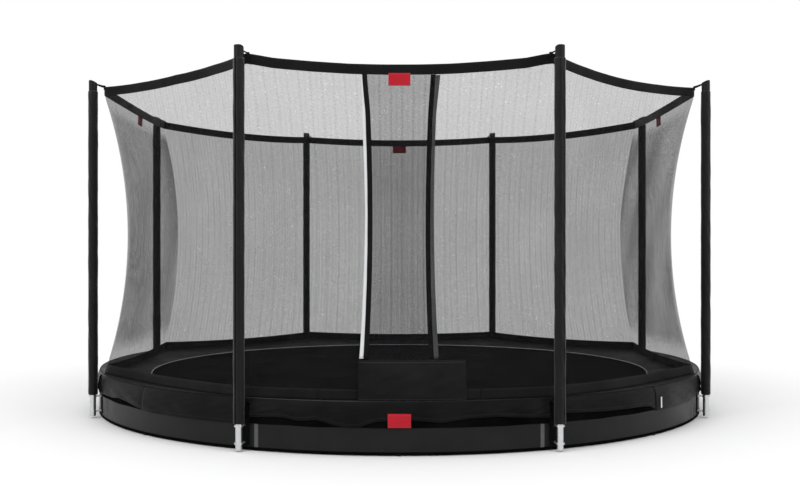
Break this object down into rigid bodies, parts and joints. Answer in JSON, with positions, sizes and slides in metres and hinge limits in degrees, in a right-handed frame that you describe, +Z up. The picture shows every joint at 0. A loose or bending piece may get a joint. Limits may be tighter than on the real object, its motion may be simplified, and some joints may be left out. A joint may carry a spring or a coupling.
{
  "type": "in-ground trampoline",
  "caption": "Round in-ground trampoline with a padded edge, soil plates and a tall octagonal safety net on padded poles, entered through two overlapping net flaps.",
  "frame": {"origin": "middle of the ring at ground level, under the middle of the jumping mat", "axes": "+Z up, +X to the right seen from the entrance, the entrance faces -Y"},
  "size_m": [4.3212, 4.3227, 2.231],
  "materials": {
    "galvanised_rail": "satin",
    "pole_steel": "satin",
    "spring_steel": "satin",
    "dark_plate": "matte",
    "black_rubber": "matte",
    "black_plastic": "satin",
    "sleeve_fabric": "matte",
    "pad_fabric": "satin",
    "piping_fabric": "matte",
    "mat_fabric": "matte",
    "net_mesh": "matte",
    "black_webbing": "matte",
    "pale_strip": "matte",
    "grey_strip": "matte",
    "red_tab": "satin"
  },
  "bodies": {
    "frame": {"upper_rail_1": "galvanised_rail", "upper_rail_2": "galvanised_rail", "upper_rail_3": "galvanised_rail", "upper_rail_4": "galvanised_rail", "upper_rail_5": "galvanised_rail", "upper_rail_6": "galvanised_rail", "upper_rail_7": "galvanised_rail", "upper_rail_8": "galvanised_rail", "lower_rails": "galvanised_rail", "frame_uprights": "galvanised_rail", "side_plate_1": "dark_plate", "side_plate_2": "dark_plate", "side_plate_3": "dark_plate", "side_plate_4": "dark_plate", "side_plate_5": "dark_plate", "side_plate_6": "dark_plate", "side_plate_7": "dark_plate", "side_plate_8": "dark_plate", "plate_edge_trims": "black_rubber", "plate_clips": "black_plastic", "pole_1": "pole_steel", "pole_2": "pole_steel", "pole_3": "pole_steel", "pole_4": "pole_steel", "pole_5": "pole_steel", "pole_6": "pole_steel", "pole_7": "pole_steel", "pole_8": "pole_steel", "pole_clamps": "pole_steel", "clamp_bolts": "pole_steel", "pole_brackets": "dark_plate", "pole_sleeves": "sleeve_fabric", "pole_caps": "black_plastic", "cap_straps": "black_webbing", "springs": "spring_steel", "pad_section_1": "pad_fabric", "pad_section_2": "pad_fabric", "pad_section_3": "pad_fabric", "pad_section_4": "pad_fabric", "pad_piping": "piping_fabric", "net_panel_1": "net_mesh", "net_panel_2": "net_mesh", "net_panel_3": "net_mesh", "net_panel_4": "net_mesh", "net_panel_5": "net_mesh", "net_panel_6": "net_mesh", "net_panel_7": "net_mesh", "net_front_left": "net_mesh", "net_front_right": "net_mesh", "top_band": "black_webbing", "net_hem": "black_webbing", "threshold_panel": "pad_fabric", "label_tabs": "red_tab"},
    "mat": {"jump_mat": "mat_fabric", "mat_rings": "spring_steel"},
    "outer_flap": {"outer_flap_net": "net_mesh", "outer_flap_binding": "black_webbing", "outer_flap_strip": "pale_strip"},
    "inner_flap": {"inner_flap_net": "net_mesh", "inner_flap_binding": "black_webbing", "inner_flap_strip": "grey_strip"}
  },
  "joints": [
    {"name": "mat_bounce", "type": "slide", "parent": "frame", "child": "mat", "axis": [0, 0, 1], "range_m": [-0.18, 0], "stiffness_N_per_m": 5000, "springref_m": 0.06, "deforming": ["springs"]},
    {"name": "outer_flap_swing", "type": "hinge", "parent": "frame", "child": "outer_flap", "pos_m": [-0.1996, -1.912, 2.0796], "axis": [0, -1, 0], "range_deg": [0, 15], "deforming": ["outer_flap_net"]},
    {"name": "inner_flap_swing", "type": "hinge", "parent": "frame", "child": "inner_flap", "pos_m": [0.1996, -1.91, 2.0796], "axis": [0, 1, 0], "range_deg": [0, 15], "deforming": ["inner_flap_net"]}
  ]
}
